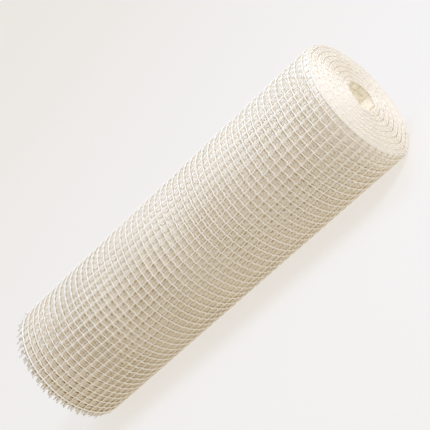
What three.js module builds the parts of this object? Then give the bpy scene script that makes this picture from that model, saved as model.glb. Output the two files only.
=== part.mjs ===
// A roll of square plastic mesh, lying on its side with its axis along X.
// The mesh is one extruded strip, wound on itself round an empty bore, with no core.
// The roll is one solid: its wound form, the step at the strip's outer and inner cut ends, the main
// turns on both end faces, and on the outside every second strand of the mesh as a lattice, with its
// gaps cut through the outer turns.
// The origin is on the floor, under the axis, halfway along the roll. +Z is up.

import * as THREE from "three";
import { mergeVertices } from "three/addons/utils/BufferGeometryUtils.js";

// Driving dimensions, in millimetres
const MESH_PITCH = 10.1; // from strand to strand, the same along and round the roll
const PITCHES_ROUND = 48; // strands that run along the roll, in the outer turn
const ROLL_LENGTH = 500; // the mesh's width, from cut edge to cut edge
const BORE_RADIUS = 21; // the empty middle, at the strip's inner end
const STRAND_FOOT = 1.8; // from the middle of a raised strand to its foot, on each side
const FLAT_SAG = 2.7; // how far the roll's own weight flattens its underside
const SHOULDER = 4; // how far the outer turns stand back from the near end
const TURN_GAP = 0.6; // from the middle of the gap between two main turns to the turns' lips
const TURN_GAP_DEPTH = 3; // how deep that gap is on an end face

// The winding, in turns and degrees
const TURNS = 32; // of the strip, from the bore to the outside
const MAIN_TURNS = 4; // gaps that show on an end face, each a few fine turns from the next
const GAP_FADE = 0.5; // share of a turn in which a gap opens and closes
const OUTER_EDGE_DEG = 120; // the strip's outer end: behind, a third of the way round from the top
const STRANDS_PER_RAISED = 2; // the lattice shows every second strand
const TURNS_CUT = 4; // outer turns that the lattice's gaps are cut through
const SHOULDER_START = 0.6; // share of the radius where the near end starts to fall back

// Uneven winding: how many lobes round the roll, how high in millimetres, and turned by how much
const UNEVEN = {
  outside: [
    { lobes: 2, height: 0.35, turnDeg: 40 },
    { lobes: 3, height: 0.25, turnDeg: 200 },
  ],
  bore: [
    { lobes: 2, height: 0.9, turnDeg: 75 },
    { lobes: 3, height: 0.5, turnDeg: 310 },
  ],
};

// Worked out from the driving dimensions
const TURN = 2 * Math.PI;
const OUTER_TURN_RADIUS = (PITCHES_ROUND * MESH_PITCH) / TURN; // halfway round the outer turn
const LAYER = (OUTER_TURN_RADIUS - BORE_RADIUS) / (TURNS - 0.5); // what a turn adds to the radius
const ROLL_RADIUS = OUTER_TURN_RADIUS + LAYER / 2; // at the strip's outer end
const RAISED_PITCH = STRANDS_PER_RAISED * MESH_PITCH;
const LATTICE_DEPTH = TURNS_CUT * LAYER;
const RAISED_GAPS_ALONG = Math.floor(ROLL_LENGTH / RAISED_PITCH);
const MAIN_LAYER = (ROLL_RADIUS - BORE_RADIUS - 2 * LAYER) / MAIN_TURNS;
const OUTER_EDGE = THREE.MathUtils.degToRad(OUTER_EDGE_DEG);
const UNDERSIDE = Math.PI - OUTER_EDGE; // angle of the lowest line, counted from the outer end
const AXIS_HEIGHT = radiusAt(MAIN_TURNS + 1, UNDERSIDE) - FLAT_SAG;

// Height of the uneven lobes at an angle round the roll
function lumps(rows, angle) {
  const wave = ({ lobes, height, turnDeg }) =>
    height * Math.cos(lobes * angle + THREE.MathUtils.degToRad(turnDeg));
  return rows.reduce((sum, row) => sum + wave(row), 0);
}

// Radius of the winding's edge on a row of turns, at an angle counted from the cut ends.
// Row 0 is the bore's wall, the last row is the outside, and each row ends where the next begins.
function radiusAt(row, angle) {
  const wound = row + angle / TURN;
  const inner = Math.min(wound, 1) * LAYER;
  const main = THREE.MathUtils.clamp(wound - 1, 0, MAIN_TURNS) * MAIN_LAYER;
  const outer = Math.max(wound - 1 - MAIN_TURNS, 0) * LAYER;
  const even = BORE_RADIUS + inner + main + outer;
  const outward = (even - BORE_RADIUS) / (ROLL_RADIUS - BORE_RADIUS);
  return (
    even + THREE.MathUtils.lerp(lumps(UNEVEN.bore, angle), lumps(UNEVEN.outside, angle), outward)
  );
}

// How deep the gap between two main turns is on an end face: it opens and closes at the cut ends
function gapAt(row, angle) {
  const wound = row + angle / TURN - 1;
  const open = THREE.MathUtils.smoothstep(wound, 0, GAP_FADE);
  const close = THREE.MathUtils.smoothstep(MAIN_TURNS - wound, 0, GAP_FADE);
  return TURN_GAP_DEPTH * open * close;
}

// Place along the axis of an end face at a radius: the near end is +1 and the far end -1
function faceAt(end, radius) {
  const falls = THREE.MathUtils.smoothstep(radius / ROLL_RADIUS, SHOULDER_START, 1);
  return (end * ROLL_LENGTH) / 2 - (end > 0 ? SHOULDER * falls : 0);
}

// A point of the roll. The angle is counted from the outer cut end, which lies behind the roll,
// and the underside is flat where the roll rests.
function pointAt(along, angle, radius) {
  const turned = OUTER_EDGE + angle;
  const height = AXIS_HEIGHT + radius * Math.cos(turned);
  return new THREE.Vector3(along, radius * Math.sin(turned), Math.max(height, 0));
}

// A main turn's section on an end face: the gap below it, its two lips and the gap above it
function turnSection(end, row, angle) {
  const below = radiusAt(row, angle);
  const above = radiusAt(row + 1, angle);
  const on = (radius, depth) => pointAt(faceAt(end, radius) - end * depth, angle, radius);
  return [
    on(below, gapAt(row, angle)),
    on(below + TURN_GAP, 0),
    on(above - TURN_GAP, 0),
    on(above, gapAt(row + 1, angle)),
  ];
}

// The lattice's lines. Round the roll, every second line is a strand, and the lines between them
// keep the wall round. Along the roll, every line is a strand.
const angles = Array.from({ length: PITCHES_ROUND + 1 }, (_, i) => (i * TURN) / PITCHES_ROUND);
const rings = Array.from(
  { length: RAISED_GAPS_ALONG + 1 },
  (_, i) => (i - RAISED_GAPS_ALONG / 2) * RAISED_PITCH,
);

// Triangles of the solid, three corners each. A quad's corners go clockwise as seen from outside.
const corners = [];
function quad(a, b, c, d) {
  corners.push(a, c, b, a, d, c);
}
// A patch between lines of points
function patch(lines) {
  for (let i = 0; i + 1 < lines.length; i++) {
    for (let j = 0; j + 1 < lines[i].length; j++) {
      quad(lines[i][j], lines[i + 1][j], lines[i + 1][j + 1], lines[i][j + 1]);
    }
  }
}

// Outer wall

const OUTSIDE = MAIN_TURNS + 1;
// One line along the roll, from the far end to the near end, at a radius
const wallLine = (angle, radius) =>
  [faceAt(-1, radius), ...rings, faceAt(1, radius)].map((x) => pointAt(x, angle, radius));
const wallLines = angles.map((angle) => wallLine(angle, radiusAt(OUTSIDE, angle)));

// The floor of a gap in the lattice, below its rim: the strands round it slope down to their feet
function gapFloor(column, ring) {
  const foot = STRAND_FOOT / ROLL_RADIUS;
  const across = [angles[column] + foot, angles[column + 1], angles[column + 2] - foot];
  const along = [rings[ring] + STRAND_FOOT, rings[ring + 1] - STRAND_FOOT];
  return across.map((angle) =>
    along.map((x) => pointAt(x, angle, radiusAt(OUTSIDE, angle) - LATTICE_DEPTH)),
  );
}

// The corners of a gap's rim or floor, in order round it
const round = ([left, middle, right]) => [left[0], middle[0], right[0], right[1], middle[1], left[1]];

function outerWall() {
  for (let column = 0; column < PITCHES_ROUND; column += STRANDS_PER_RAISED) {
    const lines = wallLines.slice(column, column + STRANDS_PER_RAISED + 1);
    const rests = lines.every((line) => line[1].z === 0);
    lines[0].slice(1).forEach((_, row) => {
      const rim = lines.map((line) => [line[row], line[row + 1]]);
      const ring = row - 1;
      if (rests || ring < 0 || ring >= RAISED_GAPS_ALONG) {
        patch(rim);
        return;
      }
      const floor = gapFloor(column, ring);
      const [top, foot] = [round(rim), round(floor)];
      top.forEach((at, i) => {
        const next = (i + 1) % top.length;
        quad(at, top[next], foot[next], foot[i]);
      });
      patch(floor);
    });
  }
}

// The step at the strip's outer end, as thick as one layer of mesh
function outerStep() {
  const [below, above] = [radiusAt(OUTSIDE, 0), radiusAt(OUTSIDE, TURN)];
  const lips = [above - TURN_GAP, below + TURN_GAP].map((radius) => wallLine(TURN, radius));
  patch([wallLines[PITCHES_ROUND], ...lips, wallLines[0]]);
}

// The bore, with the step at the strip's inner end
function bore() {
  const alongBore = (angle) => [turnSection(1, 0, angle)[0], turnSection(-1, 0, angle)[0]];
  patch(angles.map(alongBore));
  const far = turnSection(-1, 0, 0);
  patch(turnSection(1, 0, 0).map((near, i) => [near, far[i]]).reverse());
}

// An end face: the main turns side by side, with a gap between each and the next
function endFace(end) {
  for (let row = 0; row <= MAIN_TURNS; row++) {
    const sections = angles.map((angle) => turnSection(end, row, angle));
    patch(end > 0 ? sections.map((section) => section.reverse()) : sections);
  }
}

function rollGeometry() {
  outerWall();
  outerStep();
  bore();
  endFace(1);
  endFace(-1);
  return mergeVertices(new THREE.BufferGeometry().setFromPoints(corners));
}

const meshPlastic = new THREE.MeshStandardMaterial({
  color: 0xf3ecdd,
  roughness: 0.45,
  metalness: 0,
});

const roll = new THREE.Mesh(rollGeometry(), meshPlastic);
roll.name = "mesh_roll";

const part = new THREE.Group();
part.add(roll);

export default part;
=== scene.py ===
# %% [markdown]
# # A roll of square plastic mesh
# The real thing is one strip of extruded polyethylene net, half a metre wide and ten metres long, cut at
# both ends and wound on itself round an empty middle. Nothing holds it open: there is no core.
# A cylinder with a net painted on it would look flat, because nothing would show through its gaps. So we
# draw the net flat, strand by strand, and roll it up with one formula. Then every strand lies where it lies
# on the real roll, and the strands of one turn show through the gaps of the next.

# %% Load the solid
import math

import bpy
import numpy as np
from mathutils import Matrix, Vector


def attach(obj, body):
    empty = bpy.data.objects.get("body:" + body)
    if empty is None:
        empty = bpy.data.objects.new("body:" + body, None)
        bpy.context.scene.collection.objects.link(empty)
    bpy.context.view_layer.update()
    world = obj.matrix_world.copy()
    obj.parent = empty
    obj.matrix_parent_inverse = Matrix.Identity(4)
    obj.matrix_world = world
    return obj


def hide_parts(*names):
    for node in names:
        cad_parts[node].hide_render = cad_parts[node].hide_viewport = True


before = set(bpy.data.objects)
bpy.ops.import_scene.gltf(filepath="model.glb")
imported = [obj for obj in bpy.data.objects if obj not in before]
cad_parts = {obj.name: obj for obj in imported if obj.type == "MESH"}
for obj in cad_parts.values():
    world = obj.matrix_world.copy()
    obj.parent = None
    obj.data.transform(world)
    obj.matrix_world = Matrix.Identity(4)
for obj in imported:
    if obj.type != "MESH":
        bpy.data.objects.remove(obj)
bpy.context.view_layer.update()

# %% [markdown]
# ## The strip and how it is wound
# A strip wound on itself is a spiral: each turn adds one layer to the radius. The first turns lie round the
# bore, the last one ends behind the roll, where its cut edge hangs down. A hand-wound roll isn't quite
# round, so a few low lobes make it uneven, and its own weight flattens it where it rests. The same sizes
# shape the solid, so that the net lies in the solid's skin.

# %% Sizes of the strip and of the roll
MM = 0.001
TURN = 2 * math.pi
PITCH = 10.1 * MM  # from strand to strand, along and across the strip
ROLL_LENGTH = 500 * MM  # the strip's width
PITCHES_ROUND = 48  # cells of net round the outer turn
BORE_RADIUS = 21 * MM
TURNS = 32
LAYER = (PITCHES_ROUND * PITCH / TURN - BORE_RADIUS) / (TURNS - 0.5)  # what one turn adds to the radius
ROLL_RADIUS = BORE_RADIUS + TURNS * LAYER
CUT_END = math.radians(120)  # direction of both cut ends, from straight up towards the back
FLAT_SAG = 2.7 * MM  # how far the underside is flattened

# Uneven winding: lobes round the roll, their height, and how far they are turned
OUTSIDE_LOBES = ((2, 0.35 * MM, math.radians(40)), (3, 0.25 * MM, math.radians(200)))
BORE_LOBES = ((2, 0.9 * MM, math.radians(75)), (3, 0.5 * MM, math.radians(310)))


def lobes(rows, turned):
    """Sum of cosine waves round the roll: height times the cosine of lobes times the angle, plus its turn."""
    return sum(height * np.cos(count * turned + start) for count, height, start in rows)


def outer_radius(turned):
    """Radius of the roll's outside: it grows by one layer from the cut end once round to the cut end."""
    return ROLL_RADIUS - LAYER * (1 - (turned % TURN) / TURN) + lobes(OUTSIDE_LOBES, turned)


AXIS_HEIGHT = float(outer_radius(math.pi - CUT_END)) - FLAT_SAG
print(f"roll radius {ROLL_RADIUS / MM:.1f} mm, axis {AXIS_HEIGHT / MM:.1f} mm above the floor")

# %% [markdown]
# ## Rolling a flat strip up
# This is the heart of the lesson. A point of the flat strip has three numbers: how far along the strip it
# is, how far across, and how much it is lifted out of the strip. A spiral's length grows with the square
# of its turns, so the turns at a given length come from solving that square. Turn times 360 degrees is the
# direction from the axis, and the radius is the bore plus one layer for each turn.


# %% Roll up
def strip_length(turns):
    """Length of strip in so many turns: the mean circumference times the turns."""
    return TURN * (BORE_RADIUS * turns + LAYER * turns**2 / 2)


def turns_at(length):
    """Turns wound at a length along the strip: the positive root of the spiral's length formula."""
    return (np.sqrt(BORE_RADIUS**2 + LAYER * length / math.pi) - BORE_RADIUS) / LAYER


def wind(turned, even_radius, along_axis, lift):
    """Point of the roll at an angle from the inner cut end, an even radius and a place along the axis.

    The radius gets the lobes, blended from the bore's to the outside's, and the lift. Near the floor the
    point is raised by what the outside would sink into it, and less the closer it is to the bore. No point
    stays below the floor.
    """
    outward = (even_radius - BORE_RADIUS) / (ROLL_RADIUS - BORE_RADIUS)
    uneven = lobes(BORE_LOBES, turned) * (1 - outward) + lobes(OUTSIDE_LOBES, turned) * outward
    radius = even_radius + uneven + lift
    direction = CUT_END + turned
    sunk = np.maximum(-(AXIS_HEIGHT + outer_radius(turned) * np.cos(direction)), 0)
    height = AXIS_HEIGHT + radius * np.cos(direction) + sunk * outward**2
    height = np.maximum(height, 0)
    return np.stack(np.broadcast_arrays(along_axis, radius * np.sin(direction), height), -1)


def roll_up(length, along_axis, lift):
    """Point of the roll for a point of the flat strip: a full turn and one layer for each turn wound."""
    turns = turns_at(length)
    return wind(TURN * turns, BORE_RADIUS + LAYER * turns, along_axis, lift)


print(f"the strip is {strip_length(TURNS):.2f} m long")

# %% [markdown]
# ## The near end of the roll
# The near end face is nothing but the strip's edge, turn beside turn. A hand can't wind it level: the outer
# turns stand back in a soft shoulder, one turn in each group lies deeper and makes a groove, and the last
# turns fall back to a round rim. All of that only moves the strip along the axis, so two formulas do it.

# %% Near edge
SHOULDER = 4 * MM  # how far the outer turns stand back at the near end
SHOULDER_START = 0.6  # share of the radius where they start to stand back
GROUP, GROOVE = 4, 1.8 * MM  # of so many turns, one stands back by this
GROOVE_EDGE = 0.15  # share of a turn in which a groove starts, and in which it ends
RIM_TURNS = 4  # so many outer turns make the round rim


def smooth(value, low, high):
    """0 below low, 1 above high, and a smooth S-shaped step between them."""
    share = np.clip((value - low) / (high - low), 0, 1)
    return share * share * (3 - 2 * share)


def near_edge(length):
    """Where the strip's near edge lies along the axis: half the roll's length, less shoulder and groove.

    The shoulder is a smooth step of the radius. The groove is the product of two smooth steps of the turns
    in a group: one opens it at the last turn, and the other closes it at the end.
    """
    turns = turns_at(length)
    shoulder = SHOULDER * smooth((BORE_RADIUS + LAYER * turns) / ROLL_RADIUS, SHOULDER_START, 1)
    in_group = turns % GROUP
    opens = smooth(in_group, GROUP - 1 - GROOVE_EDGE, GROUP - 1)
    closes = smooth(GROUP - in_group, 0, GROOVE_EDGE)
    return ROLL_LENGTH / 2 - shoulder - GROOVE * opens * closes


def rim(length):
    """How far the near rim has fallen back, from 0 to 1: a quarter of a circle over the outer turns."""
    share = np.clip((turns_at(length) - TURNS) / RIM_TURNS + 1, 0, 1)
    return 1 - np.sqrt(1 - share**2)


edge_back = ROLL_LENGTH / 2 - near_edge(strip_length(TURNS))
print(f"at the outer end the near edge stands back by {edge_back / MM:.1f} mm")

# %% [markdown]
# ## The strands of the net
# The net comes out of its die with two sets of strands that cross at right angles and are fused there. The
# long strands run along the strip, so they go round the roll; they are the thicker, rounder ones. The cross
# bars run along the roll. Neither is straight: between two crossings each strand leans a little, and at the
# crossing it steps back, and it is thicker there, where the two flow into each other. Short tables of
# places and values, read off in between, give both profiles.

# %% Strand sizes and profiles
LONG_WIDTH, LONG_HEIGHT = 1.5 * MM, 1.4 * MM
BAR_WIDTH, BAR_HEIGHT = 1.25 * MM, 1.15 * MM
BAR_DROP = 0.1 * MM  # the bars lie a little deeper than the long strands
LEAN = 0.5 * MM  # how far a strand leans to each side between two crossings
LONG_STRANDS = 49
FIRST_STRAND = 2.2 * MM  # from the near edge to the first long strand
FIRST_BAR = 3 * MM  # from the inner cut end to the first bar
BARS = int((strip_length(TURNS) - FIRST_BAR) / PITCH) + 1

# From one crossing to the next: a place in pitches, and the lean or the thickness there
LEANS = ((0, 0), (0.1, 1), (0.9, -1), (1, 0))
SWELLS = ((0, 1.5), (0.12, 1.12), (0.3, 0.94), (0.7, 0.94), (0.88, 1.12), (1, 1.5))


def lean(place):
    """Sideways lean of a strand, from -1 to 1: a saw-tooth that steps back at each crossing."""
    return np.interp(place % 1, *np.transpose(LEANS))


def swell(place):
    """Thickness of a strand: thin between two crossings, and half as thick again at a crossing."""
    return np.interp(place % 1, *np.transpose(SWELLS))


print(LONG_STRANDS, "long strands and", BARS, "cross bars")

# %% [markdown]
# ## Where the strands lie
# The last turn of a roll is pulled tight, so here it is a little narrower than the turns below, and its bars
# have moved on and bow towards both ends. Its cells then don't lie over theirs, and strands of the second
# turn show in them. The net's lines also drift slowly. We change only where a place of the flat strip
# lies, so every strand that is drawn later follows.

# %% Places across and along the strip
RIM_BACK, RIM_REACH = 3 * MM, 8  # how far the near rim falls back, and how many cells take that up
PULL_START, PULL_FULL = 1.3, 0.9  # where the pull starts and where it is full, in turns from the outer end
NARROWER = 0.024  # share of its width that the pulled outer turn loses
KEPT_STRAND = 20  # long strand that keeps its place there
MOST_DRAWN = 15  # past so many strands towards the near end, the others move no further
MOVED_ON, BOW = -4.1 * MM, 4.5 * MM  # how far its bars move on, and how far they bow

# Drift of the net's lines: height of a wave, its length along and across the strip, and where it starts
DRIFTS = ((0.5 * MM, 0.83, 1.3, 0.0), (0.22 * MM, 0.137, -0.29, 1.3))


def pulled(length):
    """1 on the outer turn, wound under more pull, and 0 below it, with a smooth step of the turns between."""
    return smooth(turns_at(length), TURNS - PULL_START, TURNS - PULL_FULL)


def across_strip(length, place):
    """Where a place across the strip lies along the axis: so many pitches in from the near edge.

    The pulled outer turn is narrower: its strands draw together towards one that keeps its place. At the
    near end the outer turns fall back to a round rim, and the first cells of net take that up.
    """
    drawn = NARROWER * pulled(length) * np.maximum(place - KEPT_STRAND, -MOST_DRAWN)
    fall = RIM_BACK * rim(length) * (1 - smooth(place, 0, RIM_REACH))
    return near_edge(length) - fall - FIRST_STRAND - PITCH * (place - drawn)


def along_strip(length, place):
    """Where a place of a bar lies along the strip: on the pulled turn it is moved on, and bowed.

    The bow grows with the square of the distance from the strand that keeps its place.
    """
    bow = ((place - KEPT_STRAND) / KEPT_STRAND) ** 2
    return length + pulled(length) * (MOVED_ON + BOW * bow)


def wander(length, along_axis):
    """Slow drift of the net's lines: a sum of sine waves that run slantwise over the strip."""
    return sum(
        height * np.sin(TURN * (length / wave_along + along_axis / wave_across) + start)
        for height, wave_along, wave_across, start in DRIFTS
    )


first_strand, last_strand = across_strip(strip_length(TURNS), np.array([0, LONG_STRANDS - 1]))
print(f"the outer turn is {(first_strand - last_strand) / MM:.1f} mm wide between its edge strands")

# %% [markdown]
# ## Strands as tubes
# A strand is a tube: an oval section carried along a line. A bevelled curve for each would do, but there
# are hundreds, and each has its own thick and thin places. So both sets become arrays of strands by steps by
# sides, and no vertex is ever touched one by one. Each function below returns the points of many tubes at
# once, and with them how full the strand is at each point: about 1 along it and more at a crossing. The
# plastic's finish uses that later.

# %% Steps and sections
# Steps of a strand between one crossing and the next, and sides of its section
FINE = {"steps": (0.0, 0.1, 0.5, 0.9), "sides": 6}
MEDIUM = {"steps": (0.0, 0.12, 0.88), "sides": 4}


def oval(sides):
    """Cosine and sine of equal angles round an oval section, as two rows."""
    angle = TURN * np.arange(sides) / sides
    return np.cos(angle), np.sin(angle)


def steps_between(first, last, steps):
    """Places along a strand, counted in crossings: the same steps in each gap, and the last crossing."""
    places = np.arange(first, last)[:, None] + np.array(steps)
    return np.append(places.ravel(), last)


for title, detail in (("fine", FINE), ("medium", MEDIUM)):
    print(title, "strands have", len(detail["steps"]) * detail["sides"], "quads from crossing to crossing")

# %% Long strands
EDGE_SWELL = 1.35  # how much thicker the far edge's long strand is
EDGE_CALM = 0.1  # share of swelling, lean and drift that is left in the two outermost long strands


def long_strands(strands, first_bar, last_bar, detail):
    """Tubes that run along the strip, from one bar to another.

    The middle line is at the strand's number of pitches from the near edge, plus the lean and the drift.
    The section is an oval: its cosine goes across the strip and its sine out of it.
    """
    cosine, sine = oval(detail["sides"])
    place = steps_between(first_bar, last_bar, detail["steps"])
    length = FIRST_BAR + PITCH * place
    number = np.asarray(strands)[:, None]
    at_edge = (number == 0) | (number == LONG_STRANDS - 1)
    lively = np.where(at_edge, EDGE_CALM, 1)
    edge = np.where(number == LONG_STRANDS - 1, EDGE_SWELL, 1)
    middle = across_strip(length, number) + lively * (LEAN * lean(place) + wander(length, -PITCH * number))
    thick = (edge * (1 + lively * (swell(place) - 1)))[:, :, None]
    across = middle[:, :, None] + LONG_WIDTH / 2 * thick * cosine
    lift = LONG_HEIGHT / 2 * (thick * sine - edge[:, :, None])
    points = roll_up(length[None, :, None], across, lift)
    return points, np.broadcast_to(thick, points.shape[:3])


# %% [markdown]
# The bars are cut at both edges of the strip. At the near edge the cut is clean, just past the first long
# strand. At the far edge it is rough: each bar ends where the blade happened to be and is bent a little, so
# every bar draws its own length and bend from a seeded generator.

# %% Cross bars
NEAR_STUB = 0.14  # how far the bars reach past the near edge's long strand, in pitches
FRAY = 2.5 * MM  # how uneven the bars' cut ends are at the far end
CURL = 0.9 * MM  # how far those cut ends bend out of line
TIP_START, TIP_SWELL = 0.1, 1.25  # where they start, in pitches past the last strand, and how thick they are
DRIFT_SHIFT = 0.4  # how far along the strip the bars' drift is shifted, in metres

chance = np.random.default_rng(seed=11)
fray = chance.random(BARS)
tip_bends = chance.normal(0, CURL, (2, BARS))


def bar_places(bars, detail, first, last):
    """Places along bars, counted in long strands: the crossings from first to last with their steps.

    From the near edge they start with a short stub, and past the far edge they end in a frayed tip.
    """
    places = steps_between(first, last, detail["steps"])
    start = first if first > 0 else -NEAR_STUB
    places = np.tile(np.append(start, places[places > start]), (len(bars), 1))
    if last < LONG_STRANDS - 1:
        return places
    at_bar = FIRST_BAR + PITCH * np.asarray(bars)
    far_cut = near_edge(at_bar) - FIRST_STRAND + ROLL_LENGTH / 2 - FRAY * fray[bars]
    tip = far_cut[:, None] / PITCH
    return np.hstack([places, (last + tip) / 2, tip])


def cross_bars(bars, place, detail):
    """Tubes that run across the strip, through these places counted in long strands from the near edge.

    The middle line is at the bar's number of pitches from the cut end, plus the lean and the drift. The
    section is an oval: its cosine goes along the strip and its sine out of it. A tip's bend grows with the
    square of its distance past the last long strand.
    """
    cosine, sine = oval(detail["sides"])
    at_bar = FIRST_BAR + PITCH * np.asarray(bars)[:, None]
    along_axis = across_strip(at_bar, place)
    past = np.maximum(place - (LONG_STRANDS - 1), 0) ** 2
    bend_along, bend_out = tip_bends[:, bars, None] * past
    drift = wander(at_bar + DRIFT_SHIFT, along_axis)
    middle = along_strip(at_bar, place) + LEAN * lean(place) + drift + bend_along
    lift = bend_out - LONG_HEIGHT / 2 - BAR_DROP
    thick = np.where(place < LONG_STRANDS - 1 + TIP_START, swell(place), TIP_SWELL)[..., None]
    along = middle[:, :, None] + BAR_WIDTH / 2 * thick * cosine
    points = roll_up(along, along_axis[:, :, None], lift[:, :, None] + BAR_HEIGHT / 2 * thick * sine)
    return points, np.broadcast_to(thick, points.shape[:3])


print(f"the bars' cut ends differ by up to {FRAY * np.ptp(fray) / MM:.1f} mm")

# %% [markdown]
# ## From arrays to meshes
# A tube's quads join each step to the next, and its two ends are closed with a flat cap, as a cut strand is.
# All tubes of a piece go into one mesh with foreach_set, which takes whole arrays and is far quicker than
# adding faces one by one. Each strand also gets its own band of a flat map, so that a painted copy of the
# finish has a place for every strand.

# %% Faces and flat map
MAP_START, MAP_END = 0.01, 0.97  # where a strand starts and ends across the flat map
BAND_FILL = 0.9  # share of its band that a strand fills
CAP_ACROSS, CAP_WIDTH = 0.985, 0.008  # middle and half the width of a cap across the map
CAP_UP, CAP_HEIGHT = 0.45, 0.3  # middle and half the height of a cap, in bands


def tube_faces(strands, steps, sides, first):
    """Corners of the quads along the tubes, and of the two caps of each, as arrays of point numbers."""
    number = first + np.arange(strands * steps * sides).reshape(strands, steps, sides)
    beside = np.roll(number, -1, axis=2)
    quads = np.stack([number[:, :-1], number[:, 1:], beside[:, 1:], beside[:, :-1]], -1).reshape(-1, 4)
    caps = np.concatenate([number[:, 0], number[:, -1, ::-1]])
    return quads, caps


def tube_map(strands, steps, sides, band, bands):
    """Places on the flat map: a strand is a band, its length runs across and its section up the band."""
    row = ((band + np.arange(strands)) / bands)[:, None, None]
    across = np.linspace(MAP_START, MAP_END, steps)[:, None]
    up = BAND_FILL * np.arange(sides + 1) / sides / bands
    spot = np.stack(np.broadcast_arrays(across, row + up), -1)
    corners = [spot[:, :-1, :-1], spot[:, 1:, :-1], spot[:, 1:, 1:], spot[:, :-1, 1:]]
    quads = np.stack(corners, 3).reshape(-1, 2)
    cosine, sine = oval(sides)
    cap_up = row[:, 0] + (CAP_UP + CAP_HEIGHT * sine) / bands
    caps = np.stack(np.broadcast_arrays(CAP_ACROSS + CAP_WIDTH * cosine, cap_up), -1)
    return quads, np.concatenate([caps, caps]).reshape(-1, 2)


# %% Mesh builder
def fill_mesh(name, points, loops, sizes, spots, smooth_faces, fullness):
    """A new mesh object at the origin, from arrays of its points, corners, face sizes, map and fullness."""
    mesh = bpy.data.meshes.new(name)
    mesh.vertices.add(len(points))
    mesh.vertices.foreach_set("co", points.astype(np.float32).ravel())
    mesh.loops.add(len(loops))
    mesh.loops.foreach_set("vertex_index", loops.astype(np.int32))
    mesh.polygons.add(len(sizes))
    mesh.polygons.foreach_set("loop_start", (np.cumsum(sizes) - sizes).astype(np.int32))
    mesh.polygons.foreach_set("use_smooth", smooth_faces)
    mesh.update(calc_edges=True)
    mesh.uv_layers.new(name="OFBake").uv.foreach_set("vector", spots.astype(np.float32).ravel())
    mesh.attributes.new("fullness", "FLOAT", "POINT").data.foreach_set("value", fullness.astype(np.float32))
    piece = bpy.data.objects.new(name, mesh)
    bpy.context.scene.collection.objects.link(piece)
    triangles = int((sizes - 2).sum())
    print(f"{name}: {len(points)} points, {triangles} triangles")
    return piece


def mesh_piece(name, tubes):
    """One mesh from several arrays of tubes, with caps, a flat map and the fullness of the strands."""
    bands = sum(len(points) for points, _ in tubes)
    loops, sizes, spots, smooth_faces = [], [], [], []
    first = band = 0
    for points, _ in tubes:
        strands, steps, sides, _ = points.shape
        quads, caps = tube_faces(strands, steps, sides, first)
        loops += [quads.ravel(), caps.ravel()]
        sizes += [np.full(len(quads), 4), np.full(len(caps), sides)]
        spots += tube_map(strands, steps, sides, band, bands)
        smooth_faces += [np.ones(len(quads), bool), np.zeros(len(caps), bool)]
        first += points.size // 3
        band += strands
    return fill_mesh(
        name,
        np.concatenate([points.reshape(-1, 3) for points, _ in tubes]),
        np.concatenate(loops),
        np.concatenate(sizes),
        spots=np.concatenate(spots),
        smooth_faces=np.concatenate(smooth_faces),
        fullness=np.concatenate([full.ravel() for _, full in tubes]),
    )


# %% [markdown]
# ## The turns of the roll
# Only some strands can be seen one by one: those of the two outer turns, of the first turn in the bore, and
# of the strip's two edges, which make the end faces. At the near rim, which is round, a few cells of the
# next turns below show too. The outer turn and the near edge are seen closest and have the finest strands.


# %% Turns
def bar_number(turns):
    """Number of the last bar within so many turns."""
    return min(int((strip_length(turns) - FIRST_BAR) / PITCH), BARS - 1)


def turn_tubes(first_turn, last_turn, detail, strands=range(LONG_STRANDS)):
    """Long strands and cross bars of the turns from one to another, over a run of long strands."""
    first, last = bar_number(first_turn), bar_number(last_turn)
    bars = np.arange(first + 1, last + 1)
    places = bar_places(bars, detail, strands[0], strands[-1])
    return long_strands(strands, first, last, detail), cross_bars(bars, places, detail)


NEAR_STRAND = range(1)
FAR_STRAND = range(LONG_STRANDS - 1, LONG_STRANDS)
RIM_NET, RIM_STRANDS = 6, range(4)  # outer turns and strands of the near rim that show

outer_strands, outer_bars = turn_tubes(TURNS - 1, TURNS, FINE)
pieces = [
    mesh_piece("outer_turn_strands", [outer_strands]),
    mesh_piece("outer_turn_bars", [outer_bars]),
    mesh_piece("second_turn", turn_tubes(TURNS - 2, TURNS - 1, MEDIUM)),
    mesh_piece("first_turn", turn_tubes(0, 1, MEDIUM)),
    mesh_piece("near_end_edges", turn_tubes(1, TURNS - RIM_NET, FINE, NEAR_STRAND)),
    mesh_piece("near_rim", turn_tubes(TURNS - RIM_NET, TURNS - 2, MEDIUM, RIM_STRANDS)),
    mesh_piece("far_end_edges", turn_tubes(1, TURNS - 2, MEDIUM, FAR_STRAND)),
]

# %% [markdown]
# ## The pressed turns between
# Below the second turn the strands lie so close and cross so often that no gap goes through. So the other
# turns are one closed mass: a block that goes once round the bore and follows the spiral, so that its two
# ends meet in a step. Its walls keep the pattern of their turn: ridges where the strands are, and hollows in
# the cells. The second turn was pulled too. So the block's ridges drift from its strands as these drift
# from the outer turn's: they meet in the middle of the roll and part towards its ends.

# %% Pressed turns
PRESSED_TURNS = (0.25, TURNS - 2.4)  # where the block's two walls start, in turns
RIDGE_DEPTH, BORE_RIDGE_DEPTH = 1.9 * MM, 0.8 * MM  # from a ridge down to the middle of a cell
RIDGE_TOP, RIDGE_FOOT = 0.08, 0.32  # from a ridge's middle to where it starts to fall, and to its foot
FACE_BACK = 0.02  # how far the end faces stand back from the middle of the edge strands, in pitches
STEPS_ROUND = 240
STEPS_PER_CELL, STEPS_PER_TURN = 4, 2  # along the outer wall, and up the near end face
FAR_POINTS, BORE_POINTS = 8, 2 * LONG_STRANDS - 1  # down the far end face, and back along the bore's wall


def ridges(place):
    """1 on a strand and 0 in the middle of a cell: a smooth step of the pitches to the nearest strand."""
    away = np.abs((place + 0.5) % 1 - 0.5)
    return 1 - smooth(away, RIDGE_TOP, RIDGE_FOOT)


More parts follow.
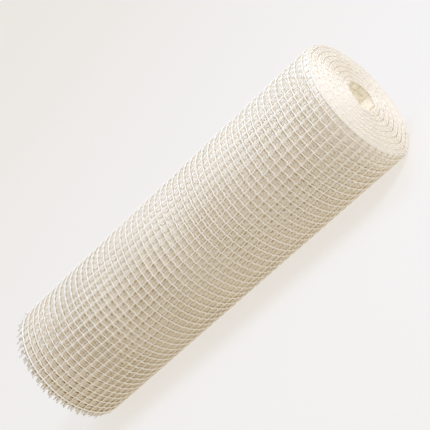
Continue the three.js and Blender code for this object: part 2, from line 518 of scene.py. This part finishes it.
def pressed_turns(inner, outer):
    """The block as one thick tube: a section of four sides, carried once round the bore.

    The section goes up the near end face, along the outer wall, down the far end face and back along the
    bore's wall. At each angle it moves out by that share of one layer. Where a wall has no strand, it is
    hollowed towards the middle of the block, and its fullness is 0.
    """
    share = np.linspace(0, 1, STEPS_ROUND + 1)[:, None]
    near, far = FACE_BACK, LONG_STRANDS - 1 - FACE_BACK
    up = np.arange(inner, outer, 1 / STEPS_PER_TURN)
    down = np.linspace(outer, inner, FAR_POINTS)
    along = np.arange(near, far, 1 / STEPS_PER_CELL)
    back = np.linspace(far, near, BORE_POINTS)
    place = np.concatenate([0 * up + near, along, 0 * down + far, back])
    turns = np.concatenate([up, 0 * along + outer, down, 0 * back + inner]) + share
    hollow = np.concatenate([0 * up, 0 * along - RIDGE_DEPTH, 0 * down, 0 * back + BORE_RIDGE_DEPTH])
    length = strip_length(turns)
    wider = place + NARROWER * (place - KEPT_STRAND)
    strands = np.maximum(ridges(wider), ridges((length - FIRST_BAR) / PITCH))
    along_axis = across_strip(length, place)
    points = wind(TURN * share, BORE_RADIUS + LAYER * turns, along_axis, hollow * (1 - strands))
    return points[None], strands[None]


pieces.append(mesh_piece("pressed_turns", [pressed_turns(*PRESSED_TURNS)]))

# %% [markdown]
# ## Shader maths in Python
# A node tree is hard to read, so we wrap a socket in a small class: a sum or product of wrapped sockets adds
# the Math nodes for it. Any other node comes from one method, which takes its type, settings and sockets.


# %% Wrapped sockets
class Wire:
    """An output socket of a node tree. Python's operators on it add Math nodes."""

    def __init__(self, tree, out=None):
        self.tree = tree
        self.out = out

    def node(self, kind, settings=None, sockets=None, result=0):
        """A new node of this type. Its settings come first, then its sockets' values or links."""
        made = self.tree.nodes.new(kind)
        for name, value in (settings or {}).items():
            setattr(made, name, value)
        for name, value in (sockets or {}).items():
            if isinstance(value, Wire):
                self.tree.links.new(value.out, made.inputs[name])
            else:
                made.inputs[name].default_value = value
        return Wire(self.tree, made.outputs[result])

    def maths(self, operation, first, second):
        """A Math node of two values, each a number or a wire."""
        return self.node("ShaderNodeMath", {"operation": operation}, {0: first, 1: second})

    def __add__(self, other):
        return self.maths("ADD", self, other)

    __radd__ = __add__

    def __sub__(self, other):
        return self.maths("SUBTRACT", self, other)

    def __rsub__(self, other):
        return self.maths("SUBTRACT", other, self)

    def __mul__(self, other):
        return self.maths("MULTIPLY", self, other)

    __rmul__ = __mul__

    def __pow__(self, power):
        return self.maths("POWER", self, power)

    def lower(self, other):
        """The lower of two values."""
        return self.maths("MINIMUM", self, other)

    def ramp(self, low, high):
        """0 where the value is low, 1 where it is high, and a smooth step between them."""
        return self.node(
            "ShaderNodeMapRange",
            {"interpolation_type": "SMOOTHSTEP"},
            {"Value": self, "From Min": low, "From Max": high},
        )

    def blend(self, first, second):
        """A colour between two colours, by this value."""
        settings = {"data_type": "RGBA"}
        return self.node("ShaderNodeMix", settings, {0: self, 6: first, 7: second}, result=2)

    def parts(self):
        """The three numbers of a vector."""
        return [self.node("ShaderNodeSeparateXYZ", None, {0: self}, result=i) for i in range(3)]

    def noise(self, scale):
        """Noise over these coordinates, about 0.5, with so many waves to the metre."""
        return self.node("ShaderNodeTexNoise", None, {"Vector": self, "Scale": scale, "Detail": 2.0})


# %% [markdown]
# ## The plastic
# Natural polyethylene is milky: light goes into a strand, wanders, and comes out warmer. A thin strand on
# the outside looks almost white, while the turns below, which only see light that has come through other
# strands, look straw-coloured. Scattering light inside so many thin strands would be slow and noisy, so that
# light and shade are painted into the colour: a painted warm shade grows with the depth below the roll's
# outside, its bore and its ends, more in a hollow than on a strand, and painted light takes it away towards
# the top and the near end, where light gets in between the turns. The crossings are thicker and whiter.
# Extrusion leaves faint ripples and uneven gloss.

# %% Depth below the skin, for the painted shade
NEAR_FADE = 0.12  # inwards from the near end, the depth counts only so much
SHADE_START, SHADE_DEPTH = 1.5 * MM, 4.5 * MM  # how deep the painted shade starts, and how deep it is full


def shade_by_depth(x, radius):
    """0 at the skin and 1 where the painted shade is full: a smooth step of the depth below the skin.

    The depth is the least of four: below the outside and the bore's wall, and in from the two ends.
    """
    from_wall = (ROLL_RADIUS - radius).lower(radius - BORE_RADIUS)
    shoulder = SHOULDER * radius.ramp(SHOULDER_START * ROLL_RADIUS, ROLL_RADIUS)
    from_ends = (NEAR_FADE * (ROLL_LENGTH / 2 - shoulder - x)).lower(x + ROLL_LENGTH / 2)
    return from_wall.lower(from_ends).ramp(SHADE_START, SHADE_DEPTH)


# %% Plastic finish
CREAM = (0.95, 0.89, 0.77, 1)
# painted shade: the darker, warmer colour of deep turns and hollows, where less light gets in
SHADE_STRAW = (0.6, 0.47, 0.23, 1)
WHITER = (0.97, 0.95, 0.91, 1)
STRAND_LESS_SHADE = 0.45  # share of the painted shade that a strand or ridge lacks
PAINTED_LIGHT_ALONG = 0.5  # painted light: share of the painted shade that fades from the far end to the near end
PAINTED_LIGHT_TOP, TOP_START = 0.65, 0.4  # painted light: share of the painted shade that fades at the top, and where that starts, in radii
MOTTLE, MOTTLE_SCALE = 0.25, 90.0  # how much the cream-to-straw blend varies at random, and in how many waves to the metre
CROSSING_START, CROSSING_FULL = 1.0, 1.6  # fullness of a strand where it starts to whiten and is whitest
CROSSING_WHITE = 0.7  # share of the whiter colour there
ROUGHNESS, ROUGHNESS_RANGE, ROUGHNESS_SCALE = 0.36, 0.2, 260.0  # least value, range, and waves to the metre
RIPPLE_STRENGTH, RIPPLE_HEIGHT, RIPPLE_SCALE = 0.25, 0.2 * MM, 900.0


def mesh_plastic():
    """One plastic for all strands.

    The painted shade grows with the depth below the skin; less of it is left on a strand, and painted light
    takes it away along the roll and at the top; a little noise is added. It blends cream into straw, and
    shallow crossings blend on to a whiter cream.
    """
    material = bpy.data.materials.new("mesh_plastic")
    material.use_nodes = True
    tree = material.node_tree
    start = Wire(tree)
    place = start.node("ShaderNodeTexCoord", result="Object")
    fullness = start.node("ShaderNodeAttribute", {"attribute_name": "fullness"}, result="Fac")
    x, y, z = place.parts()
    up = z - AXIS_HEIGHT
    # painted shade: deeper turns and hollows get a darker, warmer colour
    deep = shade_by_depth(x, (y * y + up * up) ** 0.5)
    # strands keep less of the painted shade than hollows
    on_strand = 1 - STRAND_LESS_SHADE * fullness.ramp(0.0, 1.0)
    # painted light: the painted shade fades towards the near end and the top
    lit_toward_near_end = 1 - PAINTED_LIGHT_ALONG * (x + ROLL_LENGTH / 2).ramp(0.0, ROLL_LENGTH)
    lit_at_top = 1 - PAINTED_LIGHT_TOP * up.ramp(TOP_START * ROLL_RADIUS, ROLL_RADIUS)
    painted_shade = deep * on_strand * lit_toward_near_end * lit_at_top + MOTTLE * (place.noise(MOTTLE_SCALE) - 0.5)
    white = fullness.ramp(CROSSING_START, CROSSING_FULL) * (1 - deep) * CROSSING_WHITE
    ripple = {"Strength": RIPPLE_STRENGTH, "Distance": RIPPLE_HEIGHT, "Height": place.noise(RIPPLE_SCALE)}
    finish = {
        "Base Color": white.blend(painted_shade.blend(CREAM, SHADE_STRAW), WHITER),
        "Roughness": ROUGHNESS + ROUGHNESS_RANGE * place.noise(ROUGHNESS_SCALE),
        "Normal": start.node("ShaderNodeBump", None, ripple),
    }
    for name, wire in finish.items():
        tree.links.new(wire.out, tree.nodes["Principled BSDF"].inputs[name])
    return material


plastic = mesh_plastic()
for piece in pieces:
    piece.data.materials.append(plastic)
    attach(piece, "root")
    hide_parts("mesh_roll")
print(len(pieces), "pieces wear", plastic.name)

# %% [markdown]
# ## The floor
# A net is mostly gaps, and its colour comes from light that has bounced from strand to strand, so the light
# has to be wide and soft, and come from below too. A dark or plain grey floor would swallow it. So the pale
# floor glows like a light table, and the underside isn't lost in shadow.

# %% Floor
FLOOR_SIZE = 30.0
FLOOR_COLOUR, FLOOR_ROUGHNESS = (0.2, 0.2, 0.2, 1), 0.8
FLOOR_GLOW, GLOW_STRENGTH = (1.0, 0.96, 0.91, 1), 0.665


def pale_floor():
    """A square of floor under the roll, which also gives off a little light."""
    half = FLOOR_SIZE / 2
    mesh = bpy.data.meshes.new("floor")
    corners = [(-half, -half, 0), (half, -half, 0), (half, half, 0), (-half, half, 0)]
    mesh.from_pydata(corners, [], [(0, 1, 2, 3)])
    floor = bpy.data.objects.new("floor", mesh)
    bpy.context.scene.collection.objects.link(floor)
    paint = bpy.data.materials.new("floor_paint")
    paint.use_nodes = True
    shader = paint.node_tree.nodes["Principled BSDF"]
    shader.inputs["Base Color"].default_value = FLOOR_COLOUR
    shader.inputs["Roughness"].default_value = FLOOR_ROUGHNESS
    shader.inputs["Emission Color"].default_value = FLOOR_GLOW
    shader.inputs["Emission Strength"].default_value = GLOW_STRENGTH
    mesh.materials.append(paint)
    print(f"floor: {FLOOR_SIZE} m square, glow {GLOW_STRENGTH}")


pale_floor()

# %% [markdown]
# ## The light
# A bright room does most of the work. A cooler lamp above and behind the roll whitens its top, and one
# beyond the near end whitens the end face. A real roll also lets light through its turns into the bore. Our
# closed block doesn't, so a very weak lamp in the bore's mouth stands for that light.


# %% Lamps
def add_lamp(name, kind, place, watts, colour):
    """A lamp of this kind at a place: its light and the object that holds it."""
    lamp = bpy.data.lights.new(name, kind)
    lamp.energy = watts
    lamp.color = colour
    holder = bpy.data.objects.new(name, lamp)
    holder.location = place
    bpy.context.scene.collection.objects.link(holder)
    print(f"{name}: {watts} W")
    return lamp, holder


def soft_lamp(name, place, aim, size, watts, colour):
    """A square area lamp at a place, facing the point it aims at."""
    lamp, holder = add_lamp(name, "AREA", place, watts, colour)
    lamp.size = size
    holder.rotation_euler = (Vector(aim) - Vector(place)).to_track_quat("-Z", "Y").to_euler()


def unseen_lamp(name, place, radius, watts, colour):
    """A round lamp that lights what is near it and isn't itself in the picture."""
    lamp, holder = add_lamp(name, "POINT", place, watts, colour)
    lamp.shadow_soft_size = radius
    holder.visible_camera = False


# %% Light
ABOVE_BEHIND, BEYOND_NEAR_END = (0.2, 0.6, 2.2), (1.6, 0.0, 1.8)
BORE_LAMP_DEPTH = 30 * MM  # how far inside the near end the bore's lamp is
ROOM_COLOUR, ROOM_STRENGTH = (1.0, 0.93, 0.87, 1), 0.616
BOUNCES = 12  # with fewer bounces of light, the inner turns are too dark


def bright_room():
    """A room that lights the roll evenly from every side."""
    room = bpy.data.worlds.new("room")
    room.use_nodes = True
    walls = room.node_tree.nodes["Background"]
    walls.inputs["Color"].default_value = ROOM_COLOUR
    walls.inputs["Strength"].default_value = ROOM_STRENGTH
    bpy.context.scene.world = room
    print(f"room: strength {ROOM_STRENGTH}, {BOUNCES} bounces")


middle = Vector((0, 0, AXIS_HEIGHT))
bore_mouth = Vector((ROLL_LENGTH / 2 - BORE_LAMP_DEPTH, 0, AXIS_HEIGHT))
soft_lamp("window_light", ABOVE_BEHIND, middle, size=0.7, watts=17.4, colour=(0.42, 0.66, 1.0))
soft_lamp("near_light", BEYOND_NEAR_END, middle, size=0.7, watts=30.4, colour=(0.73, 0.8, 1.0))
unseen_lamp("bore_light", bore_mouth, radius=10 * MM, watts=0.0075, colour=(0.78, 0.9, 1.0))
bright_room()
bpy.context.scene.cycles.diffuse_bounces = BOUNCES
bpy.context.scene.cycles.max_bounces = BOUNCES
bpy.context.scene.view_settings.view_transform = "Standard"

# %% [markdown]
# ## The camera
# A long lens from a few steps away keeps the roll's two ends nearly the same size. The camera stands in
# front of the roll, towards its near end and a little above its axis, so that it sees the end face and the
# bore. It is turned about its own line of sight, so that the roll lies slantwise in the picture.

# %% Camera
CAMERA_ALONG = 0.875  # along the roll's axis, from its middle
CAMERA_OUT = 1.674  # away from the axis
CAMERA_RISE = math.radians(18)  # how high it stands, seen along the axis
PAN, TILT, TWIST = math.radians(-26.86), math.radians(-0.39), math.radians(42.25)
IMAGE_SIDE, FOCAL_PIXELS = 430, 1700  # side of the picture, and the lens, in pixels
SENSOR_WIDTH = 36  # in millimetres


def photo_camera():
    """A long lens beside the roll, twisted so that the roll lies slantwise in the picture.

    Level with the axis, the view looks straight at the roll. Pan turns it along the roll, tilt up or down,
    and twist turns the picture. Rising round the axis keeps all of that.
    """
    camera = bpy.data.cameras.new("camera")
    camera.sensor_width = SENSOR_WIDTH
    camera.lens = SENSOR_WIDTH * FOCAL_PIXELS / IMAGE_SIDE
    holder = bpy.data.objects.new("camera", camera)
    rise = Matrix.Rotation(math.pi / 2 - CAMERA_RISE, 3, "X")
    turn = Matrix.Rotation(TWIST, 3, "Z") @ Matrix.Rotation(TILT, 3, "X") @ Matrix.Rotation(PAN, 3, "Y")
    out = Vector((0, -math.cos(CAMERA_RISE), math.sin(CAMERA_RISE)))
    place = middle + Vector((CAMERA_ALONG, 0, 0)) + CAMERA_OUT * out
    holder.matrix_world = Matrix.Translation(place) @ (rise @ turn.transposed()).to_4x4()
    bpy.context.scene.collection.objects.link(holder)
    bpy.context.scene.camera = holder
    print("camera at", [round(v, 3) for v in place], "lens", round(camera.lens, 1), "mm")


photo_camera()

# %% [markdown]
# ## The last step
# The scene is brought up to date. The net has to stay in the solid's box.

# %% Update the scene
bpy.context.view_layer.update()
